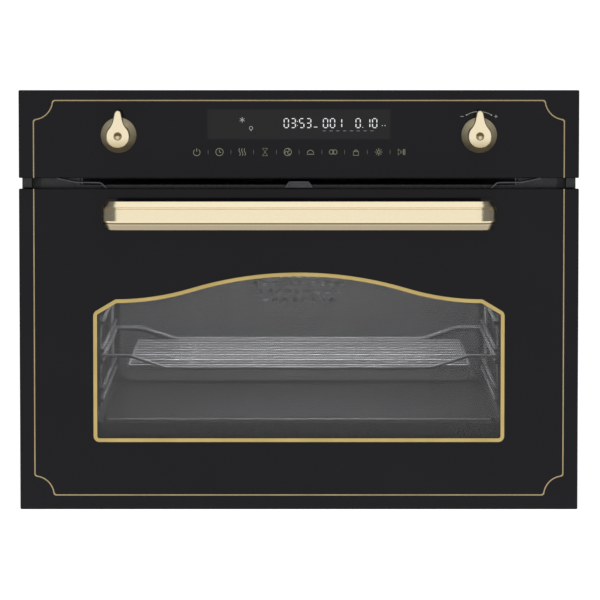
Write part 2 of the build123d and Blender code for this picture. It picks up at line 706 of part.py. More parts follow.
def make_knob():
    """Right-hand knob: conical skirt, round boss and a pointer lever, dimpled at the centre."""
    y0 = front_y - knob_gap
    neck, lever_thick = boss_r - 0.8, 12.5
    rim, cone_top = (skirt_r, -1.4), (neck, -16.0)
    profile = (
        Polyline(cone_top, (neck, 2 - knob_tall), (0, 2 - knob_tall), (0, 0), (skirt_r, 0), rim)
        + ThreePointArc(rim, (skirt_r - 2.9, -8.6), cone_top))
    body = Pos(knob_x, y0, knob_z) * revolve(make_face(profile.edges()), axis=Axis.Y)
    flank, tip, nose_z = (5.3, 16.5), pointer_tip / 2, pointer_reach - 2.2
    lean = math.radians(40)
    shoulder = (boss_r * math.cos(lean), boss_r * math.sin(lean))
    cove = TangentArc(shoulder, flank, tangent=(-math.sin(lean), math.cos(lean)))
    right = [cove, Line(flank, (tip, nose_z))]
    left = [mirror(edge, about=Plane.YZ) for edge in right]
    nose = ThreePointArc((tip, nose_z), (0, pointer_reach), (-tip, nose_z))
    bowl = ThreePointArc((-shoulder[0], shoulder[1]), (0, -boss_r), shoulder)
    lever = extrude(make_face([bowl, nose] + right + left), amount=lever_thick)
    lever = fillet(lever.edges().group_by(Axis.Z)[-1], 1.2)
    lever = Rot(90, 0, 0) * Pos(0, 0, knob_tall - lever_thick) * lever
    knob = body + Pos(knob_x, y0, knob_z) * lever
    dimple_r = 5.2
    knob -= Pos(knob_x, y0 - knob_tall - dimple_r / 2, knob_z) * Sphere(dimple_r)
    return knob - rod((knob_x, y0 + 1, knob_z), (knob_x, y0 - spindle_grip, knob_z), spindle_r)


def make_spindle():
    front_end = front_y - knob_gap - spindle_grip
    return rod((knob_x, glass_back + 7, knob_z), (knob_x, front_end, knob_z), spindle_r)


# Door
def make_door_front_panel():
    face = plate(-front_width / 2, front_width / 2, door_bottom, door_top, glass_back, glass_thick, 1.2)
    face = chamfer(face.edges().group_by(Axis.Y)[0], 0.6)
    for x in (-handle_end_x, handle_end_x):
        face -= rod((x, front_y - 2, handle_z), (x, glass_back + 2, handle_z), handle_screw_r + 0.1)
    return face - front_prism(arch_outline(window_band / 2), glass_back + 2, glass_thick + 4)


def make_window_pane():
    return front_prism(arch_outline(window_band / 2 + 0.1), glass_back, glass_thick - 0.1)


def make_window_border():
    return front_prism(arch_outline(0) - arch_outline(window_band), front_y, border_proud)


def make_door_border_line():
    window = Pos(0, (door_bottom + door_top) / 2) * Rectangle(front_width, door_height - 0.4)
    return front_prism(border_band() & window, front_y, line_proud)


def make_door_top_trim():
    """Channel along the door's top edge, with air slots."""
    low, half, wall = door_top - 14, trim_half - 1, 2.0
    trim = block(-half, half, glass_back, chassis_back, low, door_top)
    trim -= block(-half + wall, half - wall, glass_back - 1, chassis_back - 1.5, low - 1, door_top - 1.5)
    slots, pitch = 9, 58
    vent = SlotOverall(42, slot_wide)
    for column in range(slots):
        x = (column - (slots - 1) / 2) * pitch
        trim -= Pos(x, (glass_back + chassis_back) / 2, door_top - 4) * extrude(vent, amount=8)
    return trim


def make_door_chassis():
    """Pressed pan behind the glass, with a walled window opening and a choke fold."""
    low, high, half, wall = 10.0, door_top - 14.3, 281.0, 1.5
    deep = door_thick - glass_thick
    pan = plate(-half, half, low, high, chassis_back, deep, 6.0)
    pan -= plate(-half + wall, half - wall, low + wall, high - wall, chassis_back - wall, 30, 4.5)
    pan += plate(-opening_half, opening_half, opening_low, opening_high, chassis_back, deep - 0.2, 8.0)
    pan -= plate(-opening_half + wall, opening_half - wall, opening_low + wall, opening_high - wall,
                 chassis_back + 1, 40, 7.0)
    lip = 6.5
    choke = plate(-opening_half, opening_half, opening_low, opening_high, chassis_back - 4.8, 1.2, 8.0)
    choke -= plate(-opening_half + lip, opening_half - lip, opening_low + lip, opening_high - lip,
                   chassis_back, 20, 6.0)
    pan += choke
    notch = 9
    for side in (-1, 1):
        x = side * hinge_x
        pan -= block(x - notch, x + notch, glass_back - 1, chassis_back + 1, 0, hinge_z + 22)
    return pan


def inner_plate(y_back, thick):
    """A plate that fits the walled opening of the door pan."""
    inset = 2.5
    return plate(-opening_half + inset, opening_half - inset, opening_low + inset, opening_high - inset,
                 y_back, thick, 6.0)


def make_inner_glass():
    return inner_plate(chassis_back - 0.3, glass_thick)


def make_shield_screen():
    return inner_plate(chassis_back - 6.5, 0.6)


def make_door_seal():
    out, inner, thick = 9, 2, 0.7
    low, high = cavity_floor - 5, cavity_roof
    ring = plate(-cavity_half - out, cavity_half + out, low - out, high + out, frame_y, thick, 20.0)
    return ring - plate(-cavity_half - inner, cavity_half + inner, low - inner, high + inner,
                        frame_y + 1, 4, 14.0)


def make_door_handle():
    """One moulded bar: the profile runs along the door and turns back to it at both ends."""
    mid = handle_deep / 2
    bar_y = front_y - handle_proud + mid
    x = handle_end_x
    path = FilletPolyline(
        (-x, front_y, handle_z), (-x, bar_y, handle_z), (x, bar_y, handle_z), (x, front_y, handle_z),
        radius=handle_bend)
    top, low = handle_tall / 2, -handle_tall / 2
    outline = make_face(Polyline(
        (-mid, top), (mid - 5.0, top), (mid, top - 9.5), (mid, -7.0), (mid - 1.4, -7.6),
        (mid - 1.4, -8.6), (mid - 0.4, -9.2), (mid - 4.5, low), (-mid, low), close=True))
    seat = Plane(origin=path @ 0, x_dir=(-1, 0, 0), z_dir=path % 0)
    return sweep(seat * outline, path=path, transition=Transition.RIGHT)


def make_handle_screws():
    head_r, head_tall = 4.5, 3.5
    screws = []
    for x in (-handle_end_x, handle_end_x):
        shank = rod((x, front_y + 0.1, handle_z), (x, glass_back, handle_z), handle_screw_r)
        head = rod((x, glass_back, handle_z), (x, glass_back + head_tall, handle_z), head_r)
        screws.append(shank + head)
    return Compound(screws)


def make_hinge_arm():
    """Right-hand door arm: two ears on a web, joined by the pivot pin."""
    ear_half, ear_thick, ear_r, arm_tall = 8.8, 2.0, 5.2, 84
    foot_y = chassis_back - 1.5
    arm = None
    for x in (hinge_x - ear_half, hinge_x + ear_half - ear_thick):
        ear = Pos(hinge_y, hinge_z) * Circle(ear_r)
        ear += Pos(hinge_y, hinge_z + arm_tall / 2) * Rectangle(2 * ear_r, arm_tall)
        strip = side_prism(ear, x, ear_thick)
        arm = strip if arm is None else arm + strip
    x0, x1 = hinge_x - ear_half, hinge_x + ear_half
    arm += block(x0, x1, hinge_y - ear_r, hinge_y - ear_r + 2, hinge_z + 24, hinge_z + arm_tall)
    arm += block(x0 - 0.2, hinge_x + 16, foot_y - 1.5, foot_y, hinge_z + 30, hinge_z + 80)
    arm += block(x0, x1, hinge_y, foot_y, hinge_z + 40, hinge_z + 70)
    return arm + rod((x0, hinge_y, hinge_z), (x1, hinge_y, hinge_z), hinge_pin_r)


def make_hinge_receiver():
    """Right-hand receiver: a knuckle on a shank that runs back to its spring box."""
    half, shank_end, shank_tall = 6.3, frame_y + 30, 9.0
    outline = Pos(hinge_y, hinge_z) * Circle(5.0)
    outline += Pos((hinge_y + shank_end) / 2, hinge_z + 0.2) * Rectangle(shank_end - hinge_y, shank_tall)
    shank = side_prism(outline, hinge_x - half, 2 * half)
    spring_box = block(hinge_x - 12, hinge_x + 12, frame_y + 4, frame_y + 110, sheet, 24)
    hole = rod((hinge_x - 8, hinge_y, hinge_z), (hinge_x + 8, hinge_y, hinge_z), hinge_pin_r + pin_clearance)
    return shank + spring_box - hole


def make_latch_hooks():
    thick, low, high = 5.0, latch_z - 5, latch_z + 1
    nose = frame_y + 16
    outline = make_face(Polyline(
        (chassis_back, low), (nose - 3, low), (nose, low + 3), (nose, high + 2),
        (nose - 5, high + 4.5), (nose - 5, high), (chassis_back, high), close=True))
    return Compound([side_prism(outline, side * latch_x - thick / 2, thick) for side in (-1, 1)])


def make_interlock_box():
    boxes = []
    half, deep, low, high = 12, 40, latch_z - 26, latch_z + 21
    for side in (-1, 1):
        x = side * latch_x
        case = block(x - half, x + half, frame_y + 1.5, frame_y + deep, low, high)
        case -= block(x - 6, x + 6, frame_y, frame_y + 24, latch_z - 13, latch_z + 12)
        boxes.append(case)
    return Compound(boxes)


# Wire shelf
def make_wire_shelf():
    """Shelf of cross wires on two runners, with lifted ends on its front and back rails."""
    high = shelf_rest_z
    low = high - shelf_drop
    end, lift_out, lift_in, bend_r = rack_x + 1.0, 182.0, 143.0, 12.0
    shelf = None
    for y in (shelf_front, shelf_back):
        run = [(-end, y, high), (-lift_out, y, high), (-lift_in, y, low),
               (lift_in, y, low), (lift_out, y, high), (end, y, high)]
        rail = wire_path(run, bend_r, wire_r)
        shelf = rail if shelf is None else shelf + rail
    for x in (1.0 - rack_x, rack_x - 1.0):
        shelf += rod((x, shelf_front, high), (x, shelf_back, high), wire_r)
    for x in (-shelf_runner, shelf_runner):
        shelf += rod((x, shelf_front, low - 2.4), (x, shelf_back, low - 2.4), 1.7)
    pitch = (shelf_back - shelf_front) / (shelf_wires + 1)
    for row in range(1, shelf_wires + 1):
        y = shelf_front + row * pitch
        shelf += rod((-shelf_half, y, low), (shelf_half, y, low), 1.3)
    for x in (-shelf_half + 1, shelf_half - 1):
        shelf += rod((x, shelf_front + pitch - 3, low), (x, shelf_back - pitch + 3, low), 1.7)
    return shelf


# Rear connection and fasteners
def make_terminal_block():
    """Block with one screw well for each core of the lead."""
    x0, x1, z0, z1, deep, wells, well_pitch = -196, -146, 375, 410, 40, 3, 15
    case = block(x0, x1, rear_y - deep, rear_y - sheet, z0, z1)
    case = fillet(case.edges().filter_by(Axis.Y), 3.0)
    for row in range(wells):
        x = x0 + 10 + row * well_pitch
        case -= rod((x, rear_y - 30, z1 - 10), (x, rear_y - 30, z1 + 2), 3.0)
    return case


def make_cable_gland():
    """Gland for the mains lead: a hexagon outside the panel, a stem through it and a domed nut."""
    nut_tall, dome_tall = 7.0, 8.0
    nut = front_prism(Pos(inlet_x, inlet_z) * RegularPolygon(gland_r + 2, 6), rear_y + nut_tall, nut_tall)
    stem = rod((inlet_x, rear_y - 3, inlet_z), (inlet_x, rear_y + 1, inlet_z), gland_r - 0.1)
    dome_end = rear_y + nut_tall + dome_tall
    dome = rod((inlet_x, rear_y + nut_tall, inlet_z), (inlet_x, dome_end, inlet_z), gland_r - 1)
    bore = rod((inlet_x, rear_y - reach, inlet_z), (inlet_x, dome_end + reach, inlet_z), lead_r)
    return nut + stem + dome - bore


def make_housing_screws():
    screws = []
    for x in (-rear_screw_x, rear_screw_x):
        for z in rear_screw_z:
            head = rod((x, rear_y, z), (x, rear_y + 2.4, z), 4.0)
            shank = rod((x, rear_y - 8, z), (x, rear_y, z), 2.0)
            screws.append(head + shank)
    return Compound(screws)


single = {
    "outer_housing": make_outer_housing, "rear_panel": make_rear_panel, "base_pan": make_base_pan,
    "front_frame": make_front_frame, "cavity_liner": make_cavity_liner,
    "ceramic_floor": make_ceramic_floor, "fan_cover": make_fan_cover,
    "ring_element": make_ring_element, "grill_element": make_grill_element,
    "rack_studs": make_rack_studs, "lamp_housing": make_lamp_housing, "lamp_lens": make_lamp_lens,
    "waveguide": make_waveguide, "magnetron": make_magnetron, "antenna_rotor": make_antenna_rotor,
    "antenna_motor": make_antenna_motor, "fan_impeller": make_fan_impeller,
    "convection_motor": make_convection_motor, "blower_wheel": make_blower_wheel,
    "blower_housing": make_blower_housing, "blower_motor": make_blower_motor,
    "air_duct": make_air_duct, "top_tray": make_top_tray, "power_board": make_power_board,
    "control_panel": make_control_panel,
    "display_board": make_display_board, "panel_bracket": make_panel_bracket,
    "air_deflector": make_air_deflector, "panel_border_line": make_panel_border_line,
    "door_front_panel": make_door_front_panel, "window_pane": make_window_pane,
    "window_border": make_window_border, "door_border_line": make_door_border_line,
    "door_top_trim": make_door_top_trim, "door_chassis": make_door_chassis,
    "inner_glass": make_inner_glass, "shield_screen": make_shield_screen,
    "door_seal": make_door_seal, "door_handle": make_door_handle,
    "handle_screws": make_handle_screws, "latch_hooks": make_latch_hooks,
    "interlock_box": make_interlock_box, "wire_shelf": make_wire_shelf,
    "terminal_block": make_terminal_block, "cable_gland": make_cable_gland,
    "housing_screws": make_housing_screws,
}
paired = {
    "side_trim": make_side_trim, "side_rack": make_side_rack, "encoder": make_encoder,
    "knob": make_knob, "spindle": make_spindle, "hinge_arm": make_hinge_arm,
    "hinge_receiver": make_hinge_receiver,
}

parts = {}
os.makedirs("parts", exist_ok=True)
for name, make in single.items():
    parts[name] = make()
for name, make in paired.items():
    right = make()
    parts[name + "_right"] = right
    parts[name + "_left"] = mirrored(right)
for name, shape in parts.items():
    export_step(shape, f"parts/{name}.step")
print(len(parts), "nodes")
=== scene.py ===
import math

import bmesh
import bpy
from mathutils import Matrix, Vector


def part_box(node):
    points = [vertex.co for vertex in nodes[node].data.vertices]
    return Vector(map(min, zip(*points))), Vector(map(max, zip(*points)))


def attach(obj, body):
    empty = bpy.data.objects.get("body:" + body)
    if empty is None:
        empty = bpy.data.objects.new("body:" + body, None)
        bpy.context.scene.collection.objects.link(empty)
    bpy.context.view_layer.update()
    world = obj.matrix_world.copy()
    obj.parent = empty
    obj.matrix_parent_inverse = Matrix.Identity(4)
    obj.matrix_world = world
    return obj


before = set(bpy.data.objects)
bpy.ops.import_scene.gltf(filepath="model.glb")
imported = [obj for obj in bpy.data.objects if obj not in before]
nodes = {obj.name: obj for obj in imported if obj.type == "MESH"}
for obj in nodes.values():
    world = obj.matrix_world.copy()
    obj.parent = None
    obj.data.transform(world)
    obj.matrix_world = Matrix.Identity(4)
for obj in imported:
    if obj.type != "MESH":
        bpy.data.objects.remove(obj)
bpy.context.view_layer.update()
print("frame loaded:", len(nodes), "carried parts")

mm = 0.001
panelLow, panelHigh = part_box("control_panel")
frontY = panelLow.y  # the plane of the glass fronts

# The photograph is 600 pixels wide; the front's left and right edges set its scale
photo = {"side": 600, "left": 19.4, "right": 578.4, "top": 90.3}
pixel = (panelHigh.x - panelLow.x) / (photo["right"] - photo["left"])
middleX = (photo["left"] + photo["right"]) / 2


def atPixel(x, y):
    # a place on the glass front, from a pixel of the photograph
    return Vector(((x - middleX) * pixel, frontY, panelHigh.z - (y - photo["top"]) * pixel))


def linked(name, data):
    # a new object, already in the scene
    piece = bpy.data.objects.new(name, data)
    bpy.context.scene.collection.objects.link(piece)
    return piece


# Camera, straight in front and a little above
view = {"distance": 5.0, "elevation": 4.6, "sensor": 36.0, "clip": (0.1, 50)}


def makeCamera():
    aim = atPixel(photo["side"] / 2, photo["side"] / 2)
    tilt = math.radians(view["elevation"])
    cam = linked("camera", bpy.data.cameras.new("camera"))
    cam.location = aim + view["distance"] * Vector((0, -math.cos(tilt), math.sin(tilt)))
    cam.rotation_euler = (math.pi / 2 - tilt, 0, 0)
    cam.data.sensor_width = view["sensor"]
    cam.data.lens = view["sensor"] * view["distance"] / (photo["side"] * pixel)
    cam.data.clip_start, cam.data.clip_end = view["clip"]
    bpy.context.scene.camera = cam


makeCamera()
print("camera placed")


class Wire:
    # a socket in a material, so that shader maths reads as plain expressions
    def __init__(self, paint, out):
        self.paint, self.out = paint, out

    def maths(self, operation, first, second=None):
        values = {0: first} if second is None else {0: first, 1: second}
        return self.paint.add("ShaderNodeMath", {"operation": operation}, values)

    def __add__(self, other):
        return self.maths("ADD", self, other)

    def __radd__(self, other):
        return self.maths("ADD", other, self)

    def __sub__(self, other):
        return self.maths("SUBTRACT", self, other)

    def __rsub__(self, other):
        return self.maths("SUBTRACT", other, self)

    def __mul__(self, other):
        return self.maths("MULTIPLY", self, other)

    def __rmul__(self, other):
        return self.maths("MULTIPLY", other, self)

    def __truediv__(self, other):
        return self.maths("DIVIDE", self, other)

    def __abs__(self):
        return self.maths("ABSOLUTE", self)

    def fraction(self):
        return self.maths("FRACT", self)

    def root(self):
        return self.maths("SQRT", self)

    def least(self, other):
        return self.maths("MINIMUM", self, other)


class Paint:
    # one material, or the world, its nodes made by a single method
    def __init__(self, name, world=None):
        self.material = world or bpy.data.materials.new(name)
        self.material.use_nodes = True
        self.tree = self.material.node_tree
        self.tree.nodes.clear()

    def add(self, kind, settings=None, values=None, out=0):
        node = self.tree.nodes.new(kind)
        for key, value in (settings or {}).items():
            setattr(node, key, value)
        for key, value in (values or {}).items():
            if isinstance(value, Wire):
                self.tree.links.new(value.out, node.inputs[key])
            else:
                node.inputs[key].default_value = value
        return Wire(self, node.outputs[out] if node.outputs else None)

    def place(self, scale=(1, 1, 1), shift=(0, 0, 0)):
        # object coordinates, in metres, then stretched or moved for the pattern
        spot = self.add("ShaderNodeTexCoord", out="Object")
        return self.add("ShaderNodeMapping", {}, {"Vector": spot, "Scale": scale, "Location": shift})

    def axes(self, vector):
        split = self.add("ShaderNodeSeparateXYZ", {}, {0: vector})
        return [Wire(self, end) for end in split.out.node.outputs]

    def joined(self, **parts):
        return self.add("ShaderNodeCombineXYZ", {}, {axis.upper(): part for axis, part in parts.items()})

    def noise(self, scale, detail, vector=None):
        values = {"Vector": vector or self.place(), "Scale": scale, "Detail": detail}
        return self.add("ShaderNodeTexNoise", {}, values)

    def span(self, factor, low, high, fromLow=0.0, fromHigh=1.0):
        values = {"Value": factor, "From Min": fromLow, "From Max": fromHigh, "To Min": low, "To Max": high}
        return self.add("ShaderNodeMapRange", {"clamp": True}, values)

    def blend(self, factor, first, second):
        values = {0: factor, 6: colour(first), 7: colour(second)}  # 6 and 7 are a Mix node's colours
        return self.add("ShaderNodeMix", {"data_type": "RGBA"}, values, out=2)

    def bump(self, height, strength, distance):
        values = {"Height": height, "Strength": strength, "Distance": distance}
        return self.add("ShaderNodeBump", {}, values)

    def finish(self, **values):
        # baseColor is the shader's Base Color, and so on
        ready = {}
        for key, value in values.items():
            words = key[0].upper() + "".join(" " + c if c.isupper() else c for c in key[1:])
            ready[words.replace("Ior", "IOR")] = colour(value)
        shader = self.add("ShaderNodeBsdfPrincipled", {}, ready)
        self.add("ShaderNodeOutputMaterial", {}, {"Surface": shader})
        return self.material


def colour(value):
    return (*value, 1.0) if isinstance(value, tuple) and len(value) == 3 else value


def lighter(shade, times):
    return tuple(times * c for c in shade)


most = (0.3, 0.7)  # where nearly all of a noise lies
print("material tools ready")


# Glass
def blackGlass(name, display=None):
    look = {"base": (0.0058, 0.0053, 0.0078), "lift": (0.0070, 0.0065, 0.0092), "shadeFrom": (0.35, 0.7),
            "rough": (0.07, 0.15), "roughFrom": (0.4, 0.75), "cloud": 9.0, "speck": 900.0,
            "bump": (0.02, 0.0002), "specular": 0.16}
    p = Paint(name)
    cloud = p.noise(look["cloud"], 4.0)
    speck = p.noise(look["speck"], 1.0)
    base = p.blend(p.span(cloud, 0, 1, *look["shadeFrom"]), look["base"], look["lift"])
    rough = p.span(cloud, *look["rough"], *look["roughFrom"])
    if display:
        x, y, z = p.axes(p.place())
        halfWide, low, high, soft = display["half"], display["low"], display["high"], display["soft"]
        side = p.span(abs(x), 1.0, 0.0, halfWide - soft, halfWide + soft)
        under = p.span(z, 0.0, 1.0, low - soft, low + soft)
        over = p.span(z, 1.0, 0.0, high - soft, high + soft)
        base = p.blend(side * under * over, base, display["shade"])
    grain = p.bump(speck, *look["bump"])
    return p.finish(baseColor=base, roughness=rough, normal=grain, specularIorLevel=look["specular"])


def windowGlass(name, alpha, tint):
    look = {"cloud": 7.0, "lighter": 1.3, "rough": (0.04, 0.12)}
    p = Paint(name)
    cloud = p.noise(look["cloud"], 3.0)
    base = p.blend(cloud, tint, lighter(tint, look["lighter"]))
    return p.finish(baseColor=base, roughness=p.span(cloud, *look["rough"]), alpha=alpha)


# Brass
brassLook = {"pale": (0.90, 0.79, 0.56), "deep": (0.865, 0.75, 0.52), "rough": (0.22, 0.28), "cloud": 30.0,
             "bump": (0.04, 0.00003)}


def brushed(p, streak):
    # the colour and roughness of brushed brass, from its streaks
    cloud = p.noise(brassLook["cloud"], 2.0)
    shade = p.blend(streak * 0.7 + cloud * 0.3, brassLook["deep"], brassLook["pale"])
    return shade, p.span(streak, *brassLook["rough"], *most)


def turnedBrass(name, centreX, centreZ):
    # a knob, brushed in rings, with painted shade over its lower half, a dull skirt that runs from dark at
    # the bottom to pale at the top as painted light and shade, and painted shade over the top of its dimple
    # the colour for the lower half, the skirt's pale and dark ends and the dimple's dark top are painted
    # light and shade
    look = {"rings": 1500.0, "rows": 700.0, "under": (0.56, 0.46, 0.27), "underShadeFrom": (-12 * mm, -2 * mm),
            "skirtPaintedLight": (0.96, 0.83, 0.55), "skirtPaintedShade": (0.19, 0.15, 0.09),
            "skirtLightShadeFrom": (-11 * mm, 12 * mm), "skirtFront": (15.1 * mm, 14.5 * mm), "skirtMetal": 0.42,
            "hollow": (0.15, 0.12, 0.06), "hollowEdge": 0.8 * mm, "dimple": (3.5 * mm, 4.3 * mm),
            "duller": 0.2}
    p = Paint(name)
    x, y, z = p.axes(p.place(shift=(-centreX, 0, -centreZ)))
    away = p.add("ShaderNodeVectorMath", {"operation": "LENGTH"}, {0: p.joined(x=x, z=z)}, out=1)
    streak = p.noise(1.0, 3.0, p.joined(x=away * look["rings"], y=y * look["rows"]))
    shade, rough = brushed(p, streak)
    # painted shade: below the knob's centre the face fades to the darker colour
    shade = p.blend(p.span(z, 1.0, 0.0, *look["underShadeFrom"]), shade, look["under"])
    dimple = p.span(away, 1.0, 0.0, *look["dimple"])
    # painted shade: the upper half of the dimple is darkened
    hollow = dimple * p.span(z, 0.0, 1.0, -look["hollowEdge"], look["hollowEdge"])
    shade = p.blend(hollow, shade, look["hollow"])
    skirt = p.span(y, 0.0, 1.0, frontY - look["skirtFront"][0], frontY - look["skirtFront"][1])
    # painted light and shade: the skirt runs from dark at its bottom to pale at its top
    skirtPaintedLightShade = p.blend(p.span(z, 0.0, 1.0, *look["skirtLightShadeFrom"]), look["skirtPaintedShade"], look["skirtPaintedLight"])
    shade = p.blend(skirt, shade, skirtPaintedLightShade)
    rough = rough + skirt * look["duller"] + dimple * look["duller"]
    metal = p.span(skirt, 1.0, look["skirtMetal"])
    lines = p.bump(streak, *brassLook["bump"])
    return p.finish(baseColor=shade, roughness=rough, metallic=metal, normal=lines)


def barBrass(name, middle):
    # the handle, brushed along, with painted shade over its lower bevel and along its groove; middle is its
    # mid height
    look = {"stretch": (9.0, 1500.0, 1500.0), "dull": (0.44, 0.365, 0.245), "groovePaintedShade": (0.17, 0.14, 0.09),
            "bevelDown": (10.5 * mm, 6.8 * mm), "grooveDown": 8.1 * mm, "grooveHalf": (0.5 * mm, 1.2 * mm)}
    p = Paint(name)
    streak = p.noise(1.0, 3.0, p.place(scale=look["stretch"]))
    shade, rough = brushed(p, streak)
    x, y, z = p.axes(p.place())
    # painted shade: the lower bevel turns darker, and a dark line runs along the groove
    bevel = p.span(z, 1.0, 0.0, middle - look["bevelDown"][0], middle - look["bevelDown"][1])
    groovePaintedShade = p.span(abs(z - (middle - look["grooveDown"])), 1.0, 0.0, *look["grooveHalf"])
    shade = p.blend(groovePaintedShade, p.blend(bevel, shade, look["dull"]), look["groovePaintedShade"])
    lines = p.bump(streak, *brassLook["bump"])
    return p.finish(baseColor=shade, roughness=rough, metallic=1.0, normal=lines)


def satinGold(name, pale, deep, rough, metallic):
    look = {"fine": 1400.0, "wide": 24.0, "uneven": 0.06, "bump": (0.08, 0.00005)}
    p = Paint(name)
    fine = p.noise(look["fine"], 2.0)
    wide = p.noise(look["wide"], 3.0)
    base = p.blend(p.span(wide, 0, 1, *most), deep, pale)
    uneven = p.span(fine, rough - look["uneven"], rough + look["uneven"])
    grain = p.bump(fine, *look["bump"])
    return p.finish(baseColor=base, roughness=uneven, metallic=metallic, normal=grain)


# Sheet metal, steel and enamel
def galvanised(name):
    look = {"dark": (0.36, 0.375, 0.39), "pale": (0.46, 0.475, 0.485), "spangle": 150.0, "metal": 0.9,
            "rough": (0.36, 0.46), "warp": 14.0, "warpBy": 0.012, "wide": 5.0, "bump": (0.04, 0.00005)}
    p = Paint(name)
    warp = p.noise(look["warp"], 2.0) * look["warpBy"]
    warped = p.add("ShaderNodeVectorMath", {"operation": "ADD"}, {0: p.place(), 1: warp})
    cellValues = {"Vector": warped, "Scale": look["spangle"]}
    cell = p.add("ShaderNodeTexVoronoi", {"feature": "F1"}, cellValues, out="Color")
    shade = p.axes(cell)[0]
    base = p.blend(shade * 0.75 + p.noise(look["wide"], 3.0) * 0.25, look["dark"], look["pale"])
    rough = p.span(shade, *look["rough"])
    grain = p.bump(shade, *look["bump"])
    return p.finish(baseColor=base, roughness=rough, metallic=look["metal"], normal=grain)


def steel(name, pale, deep, rough, grain, metallic=1.0):
    look = {"wide": 35.0, "smoother": 0.08, "rougher": 0.1, "bump": (0.06, 0.00006)}
    p = Paint(name)
    fine = p.noise(1.0, 3.0, p.place(scale=grain))
    mixed = fine * 0.5 + p.noise(look["wide"], 3.0) * 0.5
    base = p.blend(mixed, deep, pale)
    uneven = p.span(mixed, rough - look["smoother"], rough + look["rougher"], *most)
    lines = p.bump(fine, *look["bump"])
    return p.finish(baseColor=base, roughness=uneven, metallic=metallic, normal=lines)


def enamel(name, base, lift, rough, speck):
    look = {"peel": 260.0, "cloud": 6.0, "dots": 1500.0, "dotFrom": (0.66, 0.72), "dot": (0.4, 0.4, 0.42),
            "smoother": 0.05, "rougher": 0.07, "bump": (0.05, 0.0002)}
    p = Paint(name)
    peel = p.noise(look["peel"], 2.0)
    dots = p.span(p.noise(look["dots"], 0.0), 0, 1, *look["dotFrom"])
    shade = p.blend(dots * speck, p.blend(p.noise(look["cloud"], 3.0), base, lift), look["dot"])
    uneven = p.span(peel, rough - look["smoother"], rough + look["rougher"], *most)
    return p.finish(baseColor=shade, roughness=uneven, normal=p.bump(peel, *look["bump"]))


def ceramicPlate(name):
    # glass ceramic, grey over the top and paler along its ground front edge, partly the ground edge's own
    # tone and partly a painted highlight
    look = {"top": (0.050, 0.050, 0.053), "cloud": (0.066, 0.066, 0.069), "edge": (0.90, 0.90, 0.91),
            "edgeFrom": (1.44 * mm, 2.4 * mm), "clouds": 6.0, "fine": 420.0, "rough": (0.18, 0.3),
            "bump": (0.04, 0.0001)}
    p = Paint(name)
    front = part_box("ceramic_floor")[0].y
    x, y, z = p.axes(p.place())
    fine = p.noise(look["fine"], 2.0)
    shade = p.blend(p.noise(look["clouds"], 3.0), look["top"], look["cloud"])
    # painted highlight: the front edge is made nearly white, beyond the ground edge's own paler tone
    edge = p.span(y, 1.0, 0.0, front + look["edgeFrom"][0], front + look["edgeFrom"][1])
    shade = p.blend(edge, shade, look["edge"])
    rough = p.span(fine, *look["rough"])
    return p.finish(baseColor=shade, roughness=rough, normal=p.bump(fine, *look["bump"]))


def plastic(name, base, lift, rough, grain=2200.0):
    look = {"wide": 18.0, "smoother": 0.06, "rougher": 0.08, "bump": (0.15, 0.0001)}
    p = Paint(name)
    fine = p.noise(grain, 2.0)
    shade = p.blend(fine * 0.4 + p.noise(look["wide"], 2.0) * 0.6, base, lift)
    uneven = p.span(fine, rough - look["smoother"], rough + look["rougher"], *most)
    return p.finish(baseColor=shade, roughness=uneven, normal=p.bump(fine, *look["bump"]))


def screenMetal(name):
    # a stamped sheet in front of the cavity: round holes in staggered rows, their sizes in pitches
    look = {"pitch": 2.1 * mm, "hole": 0.34, "edge": 0.08, "metal": (0.11, 0.11, 0.113), "lighter": 1.15,
            "open": 0.10, "web": 0.50, "cloud": 6.0, "rough": 0.6}
    p = Paint(name)
    x, y, z = p.axes(p.place())
    rowStep = math.sqrt(3)
    across, up = x / look["pitch"], z / (look["pitch"] * rowStep)

    def toHole(shift):
        a = (across + shift).fraction() - 0.5
        b = ((up + shift).fraction() - 0.5) * rowStep
        return (a * a + b * b).root()

    away = toHole(0.0).least(toHole(0.5))
    web = p.span(away, look["open"], look["web"], look["hole"] - look["edge"], look["hole"] + look["edge"])
    base = p.blend(p.noise(look["cloud"], 2.0), look["metal"], lighter(look["metal"], look["lighter"]))
    return p.finish(baseColor=base, roughness=look["rough"], metallic=0.0, alpha=web)


def circuitBoard(name):
    look = {"bricks": (160, 160, 160), "dark": (0.02, 0.12, 0.06), "pale": (0.03, 0.17, 0.08),
            "track": (0.25, 0.2, 0.07), "trackWide": 0.06, "fine": 600.0, "rough": (0.3, 0.5),
            "bump": (0.05, 0.0001)}
    p = Paint(name)
    brick = p.add("ShaderNodeTexBrick", {"offset": 0.5}, {
        "Vector": p.place(scale=look["bricks"]), "Scale": 1.0, "Color1": colour(look["dark"]),
        "Color2": colour(look["pale"]), "Mortar": colour(look["track"]), "Mortar Size": look["trackWide"]})
    fine = p.noise(look["fine"], 1.0)
    rough = p.span(fine, *look["rough"])
    return p.finish(baseColor=brick, roughness=rough, normal=p.bump(fine, *look["bump"]))


